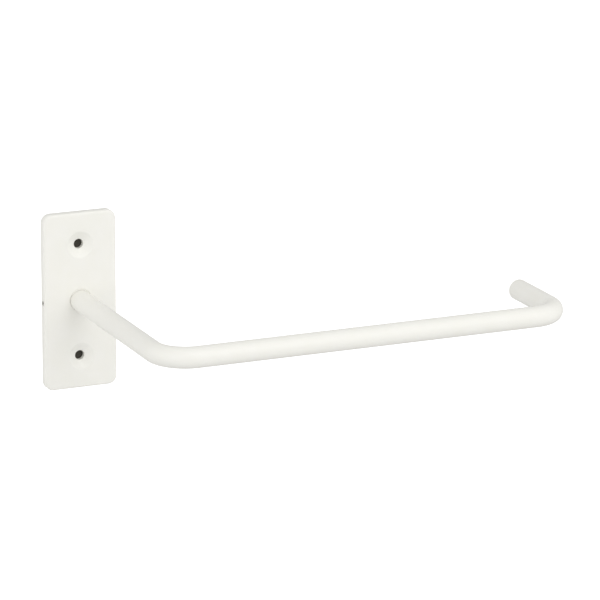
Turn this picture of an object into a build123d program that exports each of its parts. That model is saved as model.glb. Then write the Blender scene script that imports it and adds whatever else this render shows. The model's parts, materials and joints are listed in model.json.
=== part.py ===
from build123d import *
import os
from math import radians, tan

# Wall-mounted holder for one roll of paper towel, in powder-coated steel.
# A rounded flat plate is screwed to the wall through two countersunk holes. One round bar leaves
# the middle of the plate square to the wall, bends to run along it, and bends back towards it.
# The roll is slipped over the bar's free end and hangs on the long stretch.
#
# Millimetres. The origin is the centre of the plate's back face, on the axis of the bar's arm.
# +X runs along the long stretch of the bar, +Y points into the wall and +Z is up.

# Wall plate
PLATE_WIDTH = 46.5
PLATE_HEIGHT = 110.0
PLATE_THICKNESS = 6.0
PLATE_CORNER_RADIUS = 5.5
PLATE_FRONT_RIM_RADIUS = 1.5     # rounded edge that the coating softens further
PLATE_BACK_RIM_CHAMFER = 0.5     # broken edge against the wall

# Holes for the two countersunk wall screws, one above and one below the bar
WALL_SCREW_SPACING = 70.0
WALL_SCREW_HOLE_DIAMETER = 6.0
COUNTERSINK_DIAMETER = 16.5      # wide and shallow, so a screw's head sits below the plate's face
COUNTERSINK_ANGLE = 120.0

# Bar, measured along its centreline
BAR_DIAMETER = 13.0
WALL_TO_BAR = 145.0              # wall face to the long stretch
BAR_LENGTH = 256.0               # arm to the returning end
RETURN_LENGTH = 60.0             # long stretch to the free end
ARM_BEND_RADIUS = 20.0
RETURN_BEND_RADIUS = 18.0
FREE_END_RADIUS = 1.2            # rounded rim of the free end
SEATED_END_CHAMFER = 0.6

# Seat of the bar in the plate
SEAT_CLEARANCE = 0.10            # radial gap between the bar and its bore
SEAT_BACK_GAP = 0.3              # seated end to the wall face
SEAT_MOUTH_CHAMFER = 0.5         # groove round the bar at the plate's front face

# Socket set screw in the plate's left edge, which bites in a spot hole in the bar
SET_SCREW_DIAMETER = 3.0
SET_SCREW_HEX = 1.5              # across flats
SET_SCREW_SOCKET_DEPTH = 2.0
SET_SCREW_POINT_DIAMETER = 2.0
SET_SCREW_POINT_LENGTH = 0.6
SET_SCREW_CUP_DIAMETER = 1.2
SET_SCREW_RECESS = 1.25          # screw's outer end below the plate's edge
SPOT_HOLE_DEPTH = 0.5            # below the bar's surface
THREAD_CLEARANCE = 0.05          # radial, for the plain thread cylinders
POINT_CLEARANCE = 0.15           # radial, round the screw's point in the spot hole

bar_radius = BAR_DIAMETER / 2
plate_edge_x = -PLATE_WIDTH / 2
set_screw_y = -PLATE_THICKNESS / 2
set_screw_outer_x = plate_edge_x + SET_SCREW_RECESS
set_screw_point_x = -bar_radius + SPOT_HOLE_DEPTH


def facing_the_room(y, z=0):
    """A plane square to the wall screws, with +X to its right and its normal away from the wall."""
    return Plane(origin=(0, y, z), x_dir=(1, 0, 0), z_dir=(0, -1, 0))


def cylinder_along_x(radius, from_x, to_x):
    """A round solid on the set screw's axis, between two places along X."""
    start = Plane(origin=(from_x, set_screw_y, 0), z_dir=(1, 0, 0))
    return extrude(start * Circle(radius), amount=to_x - from_x)


def wall_screw_hole(height):
    """The through hole and countersink of one wall screw, as a solid to cut away."""
    front = facing_the_room(-PLATE_THICKNESS, height)
    hole_radius = WALL_SCREW_HOLE_DIAMETER / 2
    hole = extrude(front * Circle(hole_radius), amount=-PLATE_THICKNESS)
    depth = (COUNTERSINK_DIAMETER / 2 - hole_radius) / tan(radians(COUNTERSINK_ANGLE / 2))
    cone = Cone(hole_radius, COUNTERSINK_DIAMETER / 2, depth)
    return hole + front * Location((0, 0, -depth / 2)) * cone


def bar_seat():
    """The bore that holds the bar's end, with its chamfered mouth, as a solid to cut away."""
    front = facing_the_room(-PLATE_THICKNESS)
    bore_radius = bar_radius + SEAT_CLEARANCE
    bore = extrude(front * Circle(bore_radius), amount=-PLATE_THICKNESS)
    mouth = Cone(bore_radius, bore_radius + SEAT_MOUTH_CHAMFER, SEAT_MOUTH_CHAMFER)
    return bore + front * Location((0, 0, -SEAT_MOUTH_CHAMFER / 2)) * mouth


def set_screw_hole():
    """The tapped hole from the plate's left edge into the bar's seat, as a plain cylinder."""
    return cylinder_along_x(SET_SCREW_DIAMETER / 2 + THREAD_CLEARANCE, plate_edge_x, 0)


def wall_plate():
    """The flat plate, with rounded corners, a softened front rim and its four holes."""
    outline = RectangleRounded(PLATE_WIDTH, PLATE_HEIGHT, PLATE_CORNER_RADIUS)
    plate = extrude(facing_the_room(0) * outline, amount=PLATE_THICKNESS)
    plate = fillet(plate.faces().sort_by(Axis.Y).first.edges(), PLATE_FRONT_RIM_RADIUS)
    plate = chamfer(plate.faces().sort_by(Axis.Y).last.edges(), PLATE_BACK_RIM_CHAMFER)
    for height in (WALL_SCREW_SPACING / 2, -WALL_SCREW_SPACING / 2):
        plate -= wall_screw_hole(height)
    return plate - bar_seat() - set_screw_hole()


def holder_bar():
    """The bent bar, from its seated end to its free end, with the set screw's spot hole."""
    seated_end = (0, -SEAT_BACK_GAP, 0)
    arm_corner = (0, -WALL_TO_BAR, 0)
    return_corner = (BAR_LENGTH, -WALL_TO_BAR, 0)
    free_end = (BAR_LENGTH, -WALL_TO_BAR + RETURN_LENGTH, 0)
    centreline = FilletPolyline(seated_end, arm_corner, return_corner, free_end,
                                radius=[ARM_BEND_RADIUS, RETURN_BEND_RADIUS])
    bar = sweep(facing_the_room(-SEAT_BACK_GAP) * Circle(bar_radius), path=centreline)
    ends = bar.faces().filter_by(GeomType.PLANE).sort_by(Axis.X)
    bar = chamfer(ends.first.edges(), SEATED_END_CHAMFER)
    ends = bar.faces().filter_by(GeomType.PLANE).sort_by(Axis.X)
    bar = fillet(ends.last.edges(), FREE_END_RADIUS)
    spot_radius = SET_SCREW_POINT_DIAMETER / 2 + POINT_CLEARANCE
    return bar - cylinder_along_x(spot_radius, plate_edge_x, set_screw_point_x)


def set_screw():
    """The socket set screw, with a hex socket in its outer end and a cup in its point."""
    shoulder_x = set_screw_point_x - SET_SCREW_POINT_LENGTH
    shank = cylinder_along_x(SET_SCREW_DIAMETER / 2, set_screw_outer_x, shoulder_x)
    point = cylinder_along_x(SET_SCREW_POINT_DIAMETER / 2, shoulder_x, set_screw_point_x)
    outer_end = Plane(origin=(set_screw_outer_x, set_screw_y, 0), z_dir=(1, 0, 0))
    hexagon = outer_end * RegularPolygon(SET_SCREW_HEX / 2, 6, major_radius=False)
    socket = extrude(hexagon, amount=SET_SCREW_SOCKET_DEPTH)
    point_end = Plane(origin=(set_screw_point_x, set_screw_y, 0), z_dir=(1, 0, 0))
    cup_depth = SET_SCREW_CUP_DIAMETER / 2
    cup = point_end * Location((0, 0, -cup_depth / 2)) * Cone(0, cup_depth, cup_depth)
    return shank + point - socket - cup


def export_parts():
    """Write one STEP file for each piece, named after its node."""
    os.makedirs("parts", exist_ok=True)
    pieces = {"wall_plate": wall_plate(), "holder_bar": holder_bar(), "set_screw": set_screw()}
    for name, piece in pieces.items():
        export_step(piece, f"parts/{name}.step")


export_parts()
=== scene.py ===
import json
from math import ceil, cos, pi, radians, sin, tan

import bmesh
import bpy
from mathutils import Matrix, Vector


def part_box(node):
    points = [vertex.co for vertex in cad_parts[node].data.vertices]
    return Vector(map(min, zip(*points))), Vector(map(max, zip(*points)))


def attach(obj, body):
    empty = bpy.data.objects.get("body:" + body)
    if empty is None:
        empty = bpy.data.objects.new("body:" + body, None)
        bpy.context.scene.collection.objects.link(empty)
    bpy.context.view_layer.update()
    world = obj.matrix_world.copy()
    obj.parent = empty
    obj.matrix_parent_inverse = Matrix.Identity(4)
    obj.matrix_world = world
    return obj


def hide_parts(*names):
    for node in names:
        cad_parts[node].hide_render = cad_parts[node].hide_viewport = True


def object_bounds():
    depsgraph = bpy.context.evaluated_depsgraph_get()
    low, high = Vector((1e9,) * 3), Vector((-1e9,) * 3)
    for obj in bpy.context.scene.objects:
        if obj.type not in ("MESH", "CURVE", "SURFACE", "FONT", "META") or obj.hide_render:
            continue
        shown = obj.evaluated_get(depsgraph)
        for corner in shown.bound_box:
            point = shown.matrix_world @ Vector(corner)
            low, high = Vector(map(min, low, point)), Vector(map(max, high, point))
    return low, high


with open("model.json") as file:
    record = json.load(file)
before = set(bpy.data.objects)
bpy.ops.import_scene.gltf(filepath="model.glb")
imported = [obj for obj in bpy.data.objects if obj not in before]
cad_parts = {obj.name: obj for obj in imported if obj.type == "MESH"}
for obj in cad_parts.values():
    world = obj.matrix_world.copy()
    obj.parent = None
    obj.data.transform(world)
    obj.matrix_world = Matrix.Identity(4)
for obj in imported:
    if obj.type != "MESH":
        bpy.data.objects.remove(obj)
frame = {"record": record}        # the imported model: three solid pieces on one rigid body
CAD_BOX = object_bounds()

bl_info = {
    "name": "Paper towel holder",
    "version": (1, 0, 0),
    "blender": (4, 5, 0),
    "location": "3D View > Sidebar > Towel holder",
    "description": "Models a powder-coated steel paper towel holder round its packed frame",
    "category": "Add Mesh",
}

MM = 0.001
ROOT_BODY = "root"
PLATE_LOW, PLATE_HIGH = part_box("wall_plate")
BAR_LOW, BAR_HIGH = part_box("holder_bar")
SCREW_LOW, SCREW_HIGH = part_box("set_screw")
MOUNTS = {mount["name"]: mount for mount in frame["record"]["mounts"]}
WALL_SCREWS = MOUNTS["wall_screws"]["dims"]
BAR_RADIUS = MOUNTS["free_end"]["dims"]["r_mm"] * MM
SCREW_RADIUS = (SCREW_HIGH.z - SCREW_LOW.z) / 2
SCREW_AXIS = (SCREW_LOW + SCREW_HIGH) / 2

FACING_ROOM = (pi / 2, 0, 0)    # turns a primitive from upright to square out of the wall
ALONG_X = (0, pi / 2, 0)        # turns a primitive from upright to lie along X
ROUND = 64                      # sides of a large round
OVERSHOOT = 0.5 * MM            # how far a cutter runs past the surface that it cuts
TOUCH = 0.01 * MM               # places nearer together than this count as the same
SEAM = 0.002 * MM               # points nearer together than this are merged


def linear_colour(hex_colour):
    """An sRGB hex colour as the linear red, green and blue that the shaders use."""
    channels = [int(hex_colour[i:i + 2], 16) / 255 for i in (0, 2, 4)]
    return [c / 12.92 if c <= 0.04045 else ((c + 0.055) / 1.055) ** 2.4 for c in channels]


# ---------------------------------------------------------------- settings

class PlateSettings(bpy.types.PropertyGroup):
    """Sizes of the coated wall plate that the frame's box doesn't give."""
    corner_radius: bpy.props.FloatProperty(
        name="Corner radius", description="Radius of the plate's four corners, seen from the front",
        default=5.5 * MM, min=0, unit="LENGTH")
    front_rim_radius: bpy.props.FloatProperty(
        name="Front rim radius", description="Rounding of the plate's front edge under the coating",
        default=1.5 * MM, min=0, unit="LENGTH")
    back_rim_chamfer: bpy.props.FloatProperty(
        name="Back rim", description="Broken edge of the plate's back, against the wall",
        default=0.5 * MM, min=0, unit="LENGTH")
    countersink_radius: bpy.props.FloatProperty(
        name="Countersink radius", description="Radius of a screw hole's cone at the plate's front",
        default=8.25 * MM, min=0, unit="LENGTH")
    countersink_angle: bpy.props.FloatProperty(
        name="Countersink angle", description="Angle of a screw hole's cone, from side to side",
        default=radians(120), min=radians(60), max=radians(150), subtype="ANGLE")
    hole_rim_radius: bpy.props.FloatProperty(
        name="Hole rim radius", description="Softening that the coating gives the edge of a hole",
        default=0.25 * MM, min=0, unit="LENGTH")
    seat_clearance: bpy.props.FloatProperty(
        name="Seat clearance", description="Radial gap between the bar and its bore",
        default=0.1 * MM, min=0, unit="LENGTH")
    seat_mouth: bpy.props.FloatProperty(
        name="Seat mouth", description="Width of the groove round the bar at the plate's front",
        default=0.4 * MM, min=0, unit="LENGTH")
    groove_rise: bpy.props.FloatProperty(
        name="Groove rise", description="How far the coating, pooled under the bar, lifts the groove",
        default=0.55 * MM, min=0, unit="LENGTH")
    screw_hole_clearance: bpy.props.FloatProperty(
        name="Set screw clearance", description="Radial gap between the set screw and its hole",
        default=0.05 * MM, min=0, unit="LENGTH")


class BarSettings(bpy.types.PropertyGroup):
    """Sizes of the bent bar that the frame's box doesn't give."""
    arm_bend_radius: bpy.props.FloatProperty(
        name="Arm bend radius", description="Centreline radius of the bend nearest the plate",
        default=20 * MM, min=0, unit="LENGTH")
    return_bend_radius: bpy.props.FloatProperty(
        name="Return bend radius", description="Centreline radius of the bend at the open end",
        default=18 * MM, min=0, unit="LENGTH")
    return_length: bpy.props.FloatProperty(
        name="Return length", description="Long stretch's centreline to the free end",
        default=60 * MM, min=0, unit="LENGTH")
    free_end_radius: bpy.props.FloatProperty(
        name="Free end radius", description="Rounding of the free end's rim",
        default=1.2 * MM, min=0, unit="LENGTH")
    seated_end_chamfer: bpy.props.FloatProperty(
        name="Seated end chamfer", description="Chamfer of the end that sits in the plate",
        default=0.6 * MM, min=0, unit="LENGTH")


class SetScrewSettings(bpy.types.PropertyGroup):
    """Sizes of the socket set screw."""
    pitch: bpy.props.FloatProperty(
        name="Pitch", description="Distance from one thread to the next",
        default=0.5 * MM, min=0.1 * MM, unit="LENGTH")
    thread_depth: bpy.props.FloatProperty(
        name="Thread depth", description="Depth of the thread's groove",
        default=0.3 * MM, min=0, unit="LENGTH")
    crest_width: bpy.props.FloatProperty(
        name="Crest width", description="Flat left on the thread's crest, an eighth of the pitch",
        default=0.0625 * MM, min=0, unit="LENGTH")
    end_chamfer: bpy.props.FloatProperty(
        name="End chamfer", description="Chamfer at each end of the threaded shank",
        default=0.3 * MM, min=0, unit="LENGTH")
    socket_across_flats: bpy.props.FloatProperty(
        name="Socket", description="Hex key size, across flats",
        default=1.5 * MM, min=0, unit="LENGTH")
    socket_depth: bpy.props.FloatProperty(
        name="Socket depth", description="Depth of the hex socket",
        default=2 * MM, min=0, unit="LENGTH")
    point_radius: bpy.props.FloatProperty(
        name="Point radius", description="Radius of the point that bites in the bar",
        default=1 * MM, min=0, unit="LENGTH")
    point_length: bpy.props.FloatProperty(
        name="Point length", description="Length of the point",
        default=0.6 * MM, min=0, unit="LENGTH")
    cup_radius: bpy.props.FloatProperty(
        name="Cup radius", description="Radius and depth of the cup in the point",
        default=0.6 * MM, min=0, unit="LENGTH")


class FinishSettings(bpy.types.PropertyGroup):
    """Colours of the holder's finishes and the sizes of their texture."""
    coat_colour: bpy.props.FloatVectorProperty(
        name="Coat colour", description="Warm white of the powder coating",
        subtype="COLOR", size=3, min=0, max=1, default=linear_colour("EFEEE8"))
    coat_thin_colour: bpy.props.FloatVectorProperty(
        name="Thin coat colour", description="Coating where it lies a little thinner",
        subtype="COLOR", size=3, min=0, max=1, default=linear_colour("EEEDE6"))
    film_spacing: bpy.props.FloatProperty(
        name="Film patches", description="Distance from one thicker patch of the coating to the next",
        default=9 * MM, min=1 * MM, unit="LENGTH")
    peel_spacing: bpy.props.FloatProperty(
        name="Orange peel", description="Distance from one ripple of the coating to the next",
        default=1.1 * MM, min=0.1 * MM, unit="LENGTH")
    peel_height: bpy.props.FloatProperty(
        name="Ripple height", description="Height of the coating's ripples",
        default=0.012 * MM, min=0, unit="LENGTH")
    oxide_colour: bpy.props.FloatVectorProperty(
        name="Black oxide", description="Oiled black oxide of the set screw",
        subtype="COLOR", size=3, min=0, max=1, default=linear_colour("2A2A2C"))
    oxide_patch: bpy.props.FloatProperty(
        name="Oxide patches", description="Distance from one duller patch of the oxide to the next",
        default=0.4 * MM, min=0.1 * MM, unit="LENGTH")


class StageSettings(bpy.types.PropertyGroup):
    """The plain floor, the soft lights and the camera."""
    floor_colour: bpy.props.FloatVectorProperty(
        name="Floor colour", description="Matt white of the floor",
        subtype="COLOR", size=3, min=0, max=1, default=linear_colour("F6F6F6"))
    floor_size: bpy.props.FloatProperty(
        name="Floor size", description="Width and depth of the floor, which reaches past the view",
        default=40, min=1, unit="LENGTH")
    floor_drop: bpy.props.FloatProperty(
        name="Floor drop", description="Height of the holder above the floor",
        default=0.9, min=0, unit="LENGTH")
    fill_strength: bpy.props.FloatProperty(
        name="Fill strength", description="Strength of the white room's light, without softboxes",
        default=0.6, min=0, subtype="FACTOR")
    focal_length: bpy.props.FloatProperty(
        name="Focal length", description="Lens of the camera, for the sensor's width",
        default=232.05, min=1, subtype="DISTANCE_CAMERA")
    sensor_width: bpy.props.FloatProperty(
        name="Sensor width", description="Width of the camera's sensor in millimetres",
        default=36, min=1)
    camera_distance: bpy.props.FloatProperty(
        name="Camera distance", description="From the camera to the point it looks at",
        default=2.3464, min=0, unit="LENGTH")
    camera_azimuth: bpy.props.FloatProperty(
        name="Camera azimuth", description="Turn of the view to the holder's left, from square on",
        default=radians(-23.834), subtype="ANGLE")
    camera_elevation: bpy.props.FloatProperty(
        name="Camera elevation", description="Height of the view above the horizon",
        default=radians(15.582), subtype="ANGLE")
    camera_roll: bpy.props.FloatProperty(
        name="Camera roll", description="Lean of the camera about its own axis",
        default=radians(0.254), subtype="ANGLE")
    camera_aim: bpy.props.FloatVectorProperty(
        name="Camera aim", description="Point that the camera looks at",
        subtype="TRANSLATION", unit="LENGTH", size=3,
        default=(123.54 * MM, -54.71 * MM, -0.44 * MM))


SETTINGS = {
    "holder_plate": PlateSettings,
    "holder_bar": BarSettings,
    "holder_set_screw": SetScrewSettings,
    "holder_finish": FinishSettings,
    "holder_stage": StageSettings,
}


# ---------------------------------------------------------------- modelling helpers

def deselect_everything():
    """Leave edit mode and deselect all objects, so that an operator acts on one piece only."""
    if bpy.context.object and bpy.context.object.mode != "OBJECT":
        bpy.ops.object.mode_set(mode="OBJECT")
    bpy.ops.object.select_all(action="DESELECT")


def name_and_settle(name):
    """Name the new primitive and put its place into its mesh, with its object at the origin."""
    piece = bpy.context.object
    piece.name = piece.data.name = name
    bpy.ops.object.transform_apply(location=True, rotation=True, scale=True)
    return piece


def edit(piece):
    """Enter edit mode on one piece, with nothing selected, and return its edit mesh."""
    deselect_everything()
    bpy.context.view_layer.objects.active = piece
    piece.select_set(True)
    bpy.ops.object.mode_set(mode="EDIT")
    bpy.ops.mesh.select_all(action="DESELECT")
    return bmesh.from_edit_mesh(piece.data)


def pick(piece, kind, test):
    """Select just the faces, edges or verts of the piece in edit mode that pass the test."""
    modes = {"faces": "FACE", "edges": "EDGE", "verts": "VERT"}
    bpy.ops.mesh.select_mode(type=modes[kind])
    bpy.ops.mesh.select_all(action="DESELECT")
    mesh = bmesh.from_edit_mesh(piece.data)
    for element in getattr(mesh, kind):
        if test(element):
            element.select_set(True)
    mesh.select_flush_mode()
    bmesh.update_edit_mesh(piece.data)


def edges_at(axis, place):
    """A test for edges that lie in the plane at this place along an axis."""
    return lambda edge: all(abs(v.co[axis] - place) < TOUCH for v in edge.verts)


def finish_piece(piece, material, node, sharp_angle=30):
    """Tidy a finished mesh, give it its finish and let it ride in place of its CAD node."""
    edit(piece)
    bpy.ops.mesh.select_all(action="SELECT")
    bpy.ops.mesh.remove_doubles(threshold=SEAM)
    bpy.ops.mesh.normals_make_consistent(inside=False)
    bpy.ops.object.mode_set(mode="OBJECT")
    bpy.ops.object.shade_smooth_by_angle(angle=radians(sharp_angle))
    piece.data.materials.clear()
    piece.data.materials.append(material)
    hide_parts(node)
    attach(piece, ROOT_BODY)


# ---------------------------------------------------------------- materials

def add_node(tree, kind, settings=None, inputs=None):
    """Add a node, set its properties, and fill or link its inputs by name."""
    node = tree.nodes.new(kind)
    for name, value in (settings or {}).items():
        setattr(node, name, value)
    for name, value in (inputs or {}).items():
        if isinstance(value, bpy.types.NodeSocket):
            tree.links.new(value, node.inputs[name])
        else:
            node.inputs[name].default_value = value
    return node


def new_material(name):
    """An empty node material with its shader and output, and the piece's own coordinates."""
    material = bpy.data.materials.new(name)
    material.use_nodes = True
    tree = material.node_tree
    tree.nodes.clear()
    shader = add_node(tree, "ShaderNodeBsdfPrincipled")
    add_node(tree, "ShaderNodeOutputMaterial", inputs={"Surface": shader.outputs["BSDF"]})
    place = add_node(tree, "ShaderNodeTexCoord").outputs["Object"]
    return material, tree, shader, place


def powder_coated_steel():
    """Polyester powder coating, sprayed dry on steel and melted on in an oven.

    The film flows into a satin skin with a faint orange peel of ripples about a millimetre
    apart, and its white varies very slightly where the film is thicker or thinner.
    """
    existing = bpy.data.materials.get("powder_coated_steel")
    if existing:
        return existing
    finish = bpy.context.scene.holder_finish
    material, tree, shader, place = new_material("powder_coated_steel")
    film = add_node(tree, "ShaderNodeTexNoise", {"noise_dimensions": "3D"},
                    {"Vector": place, "Scale": 1 / finish.film_spacing, "Detail": 2,
                     "Roughness": 0.5})
    tints = add_node(tree, "ShaderNodeValToRGB", {}, {"Fac": film.outputs["Fac"]})
    thick, thin = tints.color_ramp.elements
    thick.position, thick.color = 0.35, (*finish.coat_colour, 1)
    thin.position, thin.color = 0.65, (*finish.coat_thin_colour, 1)
    tree.links.new(tints.outputs["Color"], shader.inputs["Base Color"])

    # a satin gloss that is a little rougher on the crests of the ripples
    peel = add_node(tree, "ShaderNodeTexNoise", {"noise_dimensions": "3D"},
                    {"Vector": place, "Scale": 1 / finish.peel_spacing, "Detail": 1.5,
                     "Roughness": 0.45})
    gloss = add_node(tree, "ShaderNodeMapRange", {},
                     {"Value": peel.outputs["Fac"], "From Min": 0.3, "From Max": 0.7,
                      "To Min": 0.40, "To Max": 0.48})
    tree.links.new(gloss.outputs["Result"], shader.inputs["Roughness"])
    bump = add_node(tree, "ShaderNodeBump", {},
                    {"Height": peel.outputs["Fac"], "Distance": finish.peel_height,
                     "Strength": 1.0})
    tree.links.new(bump.outputs["Normal"], shader.inputs["Normal"])
    shader.inputs["IOR"].default_value = 1.5
    return material


def black_oxide_steel():
    """Alloy steel with a hot black oxide finish and a film of oil.

    It is nearly black, with the dull metallic glint of the steel under the oxide.
    """
    finish = bpy.context.scene.holder_finish
    material, tree, shader, place = new_material("black_oxide_steel")
    shader.inputs["Base Color"].default_value = (*finish.oxide_colour, 1)
    shader.inputs["Metallic"].default_value = 1.0
    patches = add_node(tree, "ShaderNodeTexNoise", {},
                       {"Vector": place, "Scale": 1 / finish.oxide_patch, "Detail": 3})
    dull = add_node(tree, "ShaderNodeMapRange", {},
                    {"Value": patches.outputs["Fac"], "To Min": 0.35, "To Max": 0.6})
    tree.links.new(dull.outputs["Result"], shader.inputs["Roughness"])
    return material


def matt_material(name, colour, roughness):
    """A plain matt finish for the stage."""
    material, _, shader, _ = new_material(name)
    shader.inputs["Base Color"].default_value = (*colour, 1)
    shader.inputs["Roughness"].default_value = roughness
    shader.inputs["Specular IOR Level"].default_value = 0.0
    return material


def backlit_floor(colour):
    """White acrylic lit from below, which the camera sees as pure white with no shadow."""
    material = matt_material("backlit_white_acrylic", colour, 1.0)
    shader = material.node_tree.nodes["Principled BSDF"]
    shader.inputs["Emission Color"].default_value = (1, 1, 1, 1)
    shader.inputs["Emission Strength"].default_value = 0.9
    return material


# ---------------------------------------------------------------- the pieces

def add_cutter(kind, name, **sizes):
    """Add a cylinder or cone that a piece is cut with."""
    deselect_everything()
    primitives = {"cylinder": bpy.ops.mesh.primitive_cylinder_add,
                  "cone": bpy.ops.mesh.primitive_cone_add}
    primitives[kind](vertices=ROUND, **sizes)
    return name_and_settle(name)


def cut(piece, cutter):
    """Cut the piece with a cutter, by a Boolean modifier that is then applied."""
    deselect_everything()
    bpy.context.view_layer.objects.active = piece
    piece.select_set(True)
    modifier = piece.modifiers.new("Cut", "BOOLEAN")
    modifier.operation = "DIFFERENCE"
    modifier.solver = "EXACT"
    modifier.object = cutter
    bpy.ops.object.modifier_apply(modifier=modifier.name)
    bpy.data.objects.remove(cutter)


class HOLDER_OT_wall_plate(bpy.types.Operator):
    """Model the coated wall plate: rounded slab, two countersunk holes, bar seat and side hole"""
    bl_idname = "towel_holder.wall_plate"
    bl_label = "Wall plate"

    def execute(self, context):
        sizes = context.scene.holder_plate
        front, back = PLATE_LOW.y, PLATE_HIGH.y
        deselect_everything()
        bpy.ops.mesh.primitive_cube_add(size=1, location=(PLATE_LOW + PLATE_HIGH) / 2,
                                        scale=PLATE_HIGH - PLATE_LOW)
        plate = name_and_settle("coated_wall_plate")
        edit(plate)
        pick(plate, "edges", lambda e: abs((e.verts[0].co - e.verts[1].co).normalized().y) > 0.99)
        bpy.ops.mesh.bevel(offset=sizes.corner_radius, segments=16, profile=0.5)
        pick(plate, "edges", edges_at(1, front))
        bpy.ops.mesh.bevel(offset=sizes.front_rim_radius, segments=6, profile=0.5)
        pick(plate, "edges", edges_at(1, back))
        bpy.ops.mesh.bevel(offset=sizes.back_rim_chamfer, segments=2, profile=0.5)
        self.cut_wall_screw_holes(plate, sizes, front, back)
        self.cut_bar_seat(plate, sizes, front, back)
        self.cut_set_screw_hole(plate, sizes)
        self.soften_hole_rims(plate, sizes, front)
        finish_piece(plate, powder_coated_steel(), "wall_plate")
        return {"FINISHED"}

    def cut_wall_screw_holes(self, plate, sizes, front, back):
        """Cut the two through holes and their countersinks, above and below the bar."""
        hole_radius = WALL_SCREWS["hole_r_mm"] * MM
        spacing = WALL_SCREWS["spacing_y_mm"] * MM
        slope = tan(sizes.countersink_angle / 2)
        depth = (sizes.countersink_radius - hole_radius) / slope
        for height in (spacing / 2, -spacing / 2):
            cut(plate, add_cutter("cylinder", "hole", radius=hole_radius,
                                  depth=back - front + 2 * OVERSHOOT,
                                  location=(0, (front + back) / 2, height),
                                  rotation=FACING_ROOM))
            cut(plate, add_cutter("cone", "countersink", radius1=hole_radius,
                                  radius2=sizes.countersink_radius + OVERSHOOT * slope,
                                  depth=depth + OVERSHOOT,
                                  location=(0, front + (depth - OVERSHOOT) / 2, height),
                                  rotation=FACING_ROOM))

    def cut_bar_seat(self, plate, sizes, front, back):
        """Cut the bore that the bar sits in, and the groove of its mouth, which the coating fills
        on the underside."""
        bore = BAR_RADIUS + sizes.seat_clearance
        cut(plate, add_cutter("cylinder", "seat", radius=bore, depth=back - front + 2 * OVERSHOOT,
                              location=(0, (front + back) / 2, 0), rotation=FACING_ROOM))
        cut(plate, add_cutter("cone", "mouth", radius1=bore,
                              radius2=bore + sizes.seat_mouth + OVERSHOOT,
                              depth=sizes.seat_mouth + OVERSHOOT,
                              location=(0, front + (sizes.seat_mouth - OVERSHOOT) / 2,
                                        sizes.groove_rise),
                              rotation=FACING_ROOM))

    def cut_set_screw_hole(self, plate, sizes):
        """Cut the set screw's hole, from the plate's left edge to the bar's seat."""
        start = PLATE_LOW.x - OVERSHOOT
        cut(plate, add_cutter("cylinder", "side hole",
                              radius=SCREW_RADIUS + sizes.screw_hole_clearance, depth=-start,
                              location=(start / 2, SCREW_AXIS.y, SCREW_AXIS.z),
                              rotation=ALONG_X))

    def soften_hole_rims(self, plate, sizes, front):
        """Round the front rims of the two countersinks, as the coating does."""
        hole_height = WALL_SCREWS["spacing_y_mm"] * MM / 2
        in_front = edges_at(1, front)
        rim_band = 0.1 * MM     # a rim's straight edges pass a little inside its radius

        def on_rim(edge):
            middle = (edge.verts[0].co + edge.verts[1].co) / 2
            from_axis = Vector((middle.x, abs(middle.z) - hole_height)).length
            return in_front(edge) and abs(from_axis - sizes.countersink_radius) < rim_band

        edit(plate)
        pick(plate, "edges", on_rim)
        bpy.ops.mesh.bevel(offset=sizes.hole_rim_radius, segments=3, profile=0.5)


class HOLDER_OT_bar(bpy.types.Operator):
    """Model the coated bar: one round section drawn out, bent twice and rounded at its free end"""
    bl_idname = "towel_holder.bar"
    bl_label = "Bar"

    def execute(self, context):
        sizes = context.scene.holder_bar
        seated_y = BAR_HIGH.y
        reach = BAR_LOW.y + BAR_RADIUS
        far_x = BAR_HIGH.x - BAR_RADIUS
        free_y = reach + sizes.return_length
        deselect_everything()
        bpy.ops.mesh.primitive_circle_add(vertices=ROUND, radius=BAR_RADIUS, fill_type="NGON",
                                          location=(0, seated_y, 0), rotation=FACING_ROOM)
        bar = name_and_settle("coated_bar")
        edit(bar)
        bpy.ops.mesh.select_all(action="SELECT")
        self.draw_out((0, reach + sizes.arm_bend_radius - seated_y, 0), steps=12)
        self.turn((sizes.arm_bend_radius, reach + sizes.arm_bend_radius, 0))
        self.draw_out((far_x - sizes.arm_bend_radius - sizes.return_bend_radius, 0, 0), steps=24)
        self.turn((far_x - sizes.return_bend_radius, reach + sizes.return_bend_radius, 0))
        self.draw_out((0, free_y - reach - sizes.return_bend_radius, 0), steps=6)
        pick(bar, "edges", lambda e: edges_at(1, free_y)(e) and e.verts[0].co.x > far_x / 2)
        bpy.ops.mesh.bevel(offset=sizes.free_end_radius, segments=8, profile=0.5)
        pick(bar, "edges", edges_at(1, seated_y))
        bpy.ops.mesh.bevel(offset=sizes.seated_end_chamfer, segments=1)
        finish_piece(bar, powder_coated_steel(), "holder_bar")
        return {"FINISHED"}

    def draw_out(self, travel, steps):
        """Extrude the selected end along a straight stretch, in equal steps."""
        step = Vector(travel) / steps
        for _ in range(steps):
            bpy.ops.mesh.extrude_region_move(TRANSFORM_OT_translate={"value": step})

    def turn(self, centre):
        """Spin the selected end a quarter turn about an upright axis, which the operator reverses."""
        bpy.ops.mesh.spin(steps=24, angle=-pi / 2, center=centre, axis=(0, 0, 1))


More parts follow.
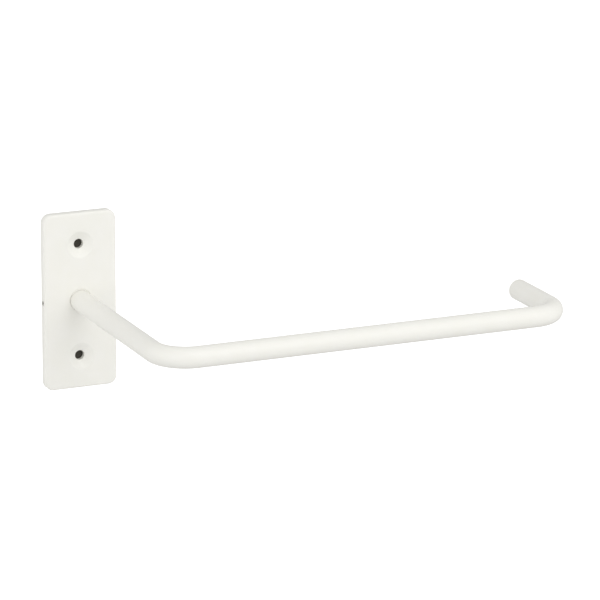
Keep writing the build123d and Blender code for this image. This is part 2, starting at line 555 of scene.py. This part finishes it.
class HOLDER_OT_set_screw(bpy.types.Operator):
    """Model the socket set screw: a turned blank with its thread, hex socket and cupped point"""
    bl_idname = "towel_holder.set_screw"
    bl_label = "Set screw"

    def execute(self, context):
        sizes = context.scene.holder_set_screw
        screw = self.turn_blank(sizes)
        cut(screw, self.thread_cutter(sizes))
        self.cut_socket(screw, sizes)
        self.cut_cup(screw, sizes)
        finish_piece(screw, black_oxide_steel(), "set_screw", sharp_angle=25)
        return {"FINISHED"}

    def turn_blank(self, sizes):
        """Turn the shank, chamfered at both ends, and the smaller point beyond it."""
        end_radius = SCREW_RADIUS - sizes.end_chamfer
        shank = SCREW_HIGH.x - SCREW_LOW.x - sizes.point_length
        flats = 46      # not twice the cutter's 24 steps, so that no edges fall on each other
        deselect_everything()
        bpy.ops.mesh.primitive_circle_add(vertices=flats, radius=end_radius, fill_type="NGON",
                                          location=(SCREW_LOW.x, SCREW_AXIS.y, SCREW_AXIS.z),
                                          rotation=ALONG_X)
        screw = name_and_settle("socket_set_screw")
        edit(screw)
        bpy.ops.mesh.select_all(action="SELECT")
        self.grow(sizes.end_chamfer, SCREW_RADIUS / end_radius)
        self.grow(shank - 2 * sizes.end_chamfer, 1)
        self.grow(sizes.end_chamfer, end_radius / SCREW_RADIUS)
        self.grow(0, sizes.point_radius / end_radius)
        self.grow(sizes.point_length, 1)
        return screw

    def grow(self, length, scale):
        """Extrude the selected end along the screw and scale its rim about the screw's axis."""
        bpy.ops.mesh.extrude_region_move(TRANSFORM_OT_translate={"value": (length, 0, 0)})
        bpy.ops.transform.resize(value=(1, scale, scale), center_override=SCREW_AXIS)

    def thread_cutter(self, sizes):
        """A pointed cutter wound round the screw, which runs out past both ends of the shank."""
        clear = 0.1 * MM
        start_x = SCREW_LOW.x - sizes.pitch
        turns = ceil((SCREW_HIGH.x - SCREW_LOW.x) / sizes.pitch) + 2
        deselect_everything()
        bpy.ops.mesh.primitive_plane_add(size=1, location=(start_x, 0, SCREW_RADIUS + clear / 2),
                                         rotation=FACING_ROOM)
        cutter = bpy.context.object
        cutter.scale = (sizes.pitch - sizes.crest_width, clear, 1)
        name_and_settle("thread cutter")
        edit(cutter)
        bpy.ops.mesh.select_all(action="SELECT")
        bpy.ops.mesh.delete(type="ONLY_FACE")
        pick(cutter, "edges", edges_at(2, SCREW_RADIUS))
        bpy.ops.mesh.subdivide(number_cuts=1)
        pick(cutter, "verts", lambda v: abs(v.co.x - start_x) < TOUCH)
        bpy.ops.transform.translate(value=(0, 0, -sizes.thread_depth))
        bpy.ops.object.mode_set(mode="OBJECT")
        self.wind(cutter, sizes.pitch, turns)
        edit(cutter)
        bpy.ops.mesh.select_all(action="SELECT")
        bpy.ops.mesh.fill_holes(sides=5)        # the winding's two five-sided ends
        bpy.ops.mesh.select_all(action="SELECT")
        bpy.ops.mesh.normals_make_consistent(inside=False)
        bpy.ops.transform.translate(value=(0, SCREW_AXIS.y, SCREW_AXIS.z))
        bpy.ops.object.mode_set(mode="OBJECT")
        return cutter

    def wind(self, cutter, pitch, turns):
        """Wind the cutter's outline along X into a right-handed helix."""
        modifier = cutter.modifiers.new("Thread", "SCREW")
        modifier.axis = "X"
        modifier.screw_offset = pitch
        modifier.iterations = turns
        modifier.steps = modifier.render_steps = 24
        bpy.ops.object.modifier_apply(modifier=modifier.name)

    def cut_socket(self, screw, sizes):
        """Cut the hex socket into the screw's outer end."""
        corner_radius = sizes.socket_across_flats / 2 / cos(pi / 6)
        middle_x = SCREW_LOW.x + (sizes.socket_depth - OVERSHOOT) / 2
        deselect_everything()
        bpy.ops.mesh.primitive_cylinder_add(
            vertices=6, radius=corner_radius, depth=sizes.socket_depth + OVERSHOOT,
            location=(middle_x, SCREW_AXIS.y, SCREW_AXIS.z), rotation=ALONG_X)
        cut(screw, name_and_settle("hex key"))

    def cut_cup(self, screw, sizes):
        """Cut the cup into the point, whose sharp rim bites in the bar."""
        clear = 0.2 * MM
        middle_x = SCREW_HIGH.x + (clear - sizes.cup_radius) / 2
        cut(screw, add_cutter("cone", "cup", radius1=sizes.cup_radius + clear, radius2=0,
                              depth=sizes.cup_radius + clear,
                              location=(middle_x, SCREW_AXIS.y, SCREW_AXIS.z),
                              rotation=(0, -pi / 2, 0)))


# ---------------------------------------------------------------- the stage

SOFTBOX_DISTANCE = 2.6
SOFTBOXES = (       # name, azimuth and elevation in degrees, size in metres, power in watts
    ("high_key_softbox", 15, 45, 1.4, 10.4),
    ("low_key_softbox", 15, 20, 1.4, 7.1),
    ("upper_left_softbox", -20, 45, 1.4, 5.6),
    ("left_softbox", -75, 10, 1.4, 9.7),
    ("left_wall_bounce", -60, 0, 3.0, 6.5),
    ("rear_left_bounce", -120, 0, 3.0, 11.6),
    ("right_wall_bounce", 60, 0, 3.0, 12.9),
    ("upper_right_softbox", 65, 45, 1.4, 4.3),
    ("floor_bounce", 0, -55, 3.0, 9.0),
)


def direction(azimuth, elevation):
    """The way out from the holder to a camera or lamp; azimuth 0 is square in front of it."""
    return Vector((sin(azimuth) * cos(elevation), -cos(azimuth) * cos(elevation),
                   sin(elevation)))


class HOLDER_OT_stage(bpy.types.Operator):
    """Lay the plain white floor and set the soft studio lights and the camera"""
    bl_idname = "towel_holder.stage"
    bl_label = "Stage"

    def execute(self, context):
        stage = context.scene.holder_stage
        self.lay_floor(stage)
        # discs of painted shade at the back of the two screw holes
        self.darken_wall_holes()
        self.hang_lights(context, stage)
        self.place_camera(context, stage)
        return {"FINISHED"}

    def lay_floor(self, stage):
        """A backlit white floor, well below the holder, which throws no light up at it."""
        deselect_everything()
        bpy.ops.mesh.primitive_plane_add(size=stage.floor_size,
                                         location=(0, 0, PLATE_LOW.z - stage.floor_drop))
        floor = name_and_settle("studio_floor")
        floor.data.materials.append(backlit_floor(stage.floor_colour))
        floor.visible_diffuse = floor.visible_glossy = floor.visible_shadow = False

    def darken_wall_holes(self):
        """A dark disc just inside the back of each screw hole: painted shade, standing in for the
        darkness seen through the hole.
        """
        # painted shade: a dark grey disc in each screw hole stands in for the shadow seen through it
        shade_material = matt_material("dark_wall_hole", linear_colour("4A4843"), 1.0)
        disc_y = PLATE_HIGH.y - 0.1 * MM        # just inside the plate's back
        spacing = WALL_SCREWS["spacing_y_mm"] * MM
        for number, height in enumerate((spacing / 2, -spacing / 2)):
            deselect_everything()
            bpy.ops.mesh.primitive_circle_add(
                vertices=48, radius=WALL_SCREWS["hole_r_mm"] * MM, fill_type="NGON",
                location=(0, disc_y, height), rotation=FACING_ROOM)
            disc = name_and_settle(f"wall_hole_{number}")
            disc.data.materials.append(shade_material)

    def hang_lights(self, context, stage):
        """A soft white room, with softboxes in front and above and wide bounces on all sides."""
        context.scene.world = self.white_room(stage)
        middle = (Vector(CAD_BOX[0]) + Vector(CAD_BOX[1])) / 2
        for name, azimuth, elevation, size, power in SOFTBOXES:
            back = direction(radians(azimuth), radians(elevation))
            place = middle + back * SOFTBOX_DISTANCE
            deselect_everything()
            bpy.ops.object.light_add(type="AREA", location=place)
            light = bpy.context.object
            light.name = light.data.name = name
            light.data.size = size
            light.data.energy = power
            light.visible_camera = False
            light.rotation_mode = "QUATERNION"
            light.rotation_quaternion = (-back).to_track_quat("-Z", "Y")
        context.scene.view_settings.view_transform = "Standard"

    def white_room(self, stage):
        """A world that fills in softly, and looks burnt out to white behind the holder."""
        world = bpy.data.worlds.new("white_room")
        world.use_nodes = True
        tree = world.node_tree
        seen = add_node(tree, "ShaderNodeLightPath").outputs["Is Camera Ray"]
        strength = add_node(tree, "ShaderNodeMapRange", {},
                            {"Value": seen, "To Min": stage.fill_strength, "To Max": 1.0})
        background = tree.nodes["Background"]
        background.inputs["Color"].default_value = (1, 1, 1, 1)
        tree.links.new(strength.outputs["Result"], background.inputs["Strength"])
        return world

    def place_camera(self, context, stage):
        """A long lens, from the left of square and a little above the holder."""
        back = direction(stage.camera_azimuth, stage.camera_elevation)
        deselect_everything()
        bpy.ops.object.camera_add(
            location=Vector(stage.camera_aim) + back * stage.camera_distance)
        camera = bpy.context.object
        camera.name = camera.data.name = "studio_camera"
        camera.data.sensor_width = stage.sensor_width
        camera.data.lens = stage.focal_length
        camera.rotation_mode = "QUATERNION"
        facing = (-back).to_track_quat("-Z", "Y")
        roll = Matrix.Rotation(stage.camera_roll, 3, "Z").to_quaternion()
        camera.rotation_quaternion = facing @ roll
        context.scene.camera = camera


PIECES = (HOLDER_OT_wall_plate, HOLDER_OT_bar, HOLDER_OT_set_screw, HOLDER_OT_stage)


class VIEW3D_PT_towel_holder(bpy.types.Panel):
    """Lists the holder's pieces and their sizes in the 3D view's sidebar"""
    bl_label = "Paper towel holder"
    bl_space_type = "VIEW_3D"
    bl_region_type = "UI"
    bl_category = "Towel holder"

    def draw(self, context):
        for operator in PIECES:
            self.layout.operator(operator.bl_idname)
        for attribute, group in SETTINGS.items():
            box = self.layout.box()
            for name in group.__annotations__:
                box.prop(getattr(context.scene, attribute), name)


def register():
    """Register the settings, the operators and the panel."""
    for group in SETTINGS.values():
        bpy.utils.register_class(group)
    for attribute, group in SETTINGS.items():
        setattr(bpy.types.Scene, attribute, bpy.props.PointerProperty(type=group))
    for operator in PIECES:
        bpy.utils.register_class(operator)
    bpy.utils.register_class(VIEW3D_PT_towel_holder)


def unregister():
    """Take the panel, the operators and the settings away again."""
    bpy.utils.unregister_class(VIEW3D_PT_towel_holder)
    for operator in reversed(PIECES):
        bpy.utils.unregister_class(operator)
    for attribute, group in SETTINGS.items():
        delattr(bpy.types.Scene, attribute)
        bpy.utils.unregister_class(group)


def main():
    """Build the holder's looks and the stage."""
    register()
    bpy.ops.towel_holder.wall_plate()
    bpy.ops.towel_holder.bar()
    bpy.ops.towel_holder.set_screw()
    bpy.ops.towel_holder.stage()
    deselect_everything()


if __name__ == "__main__":
    main()
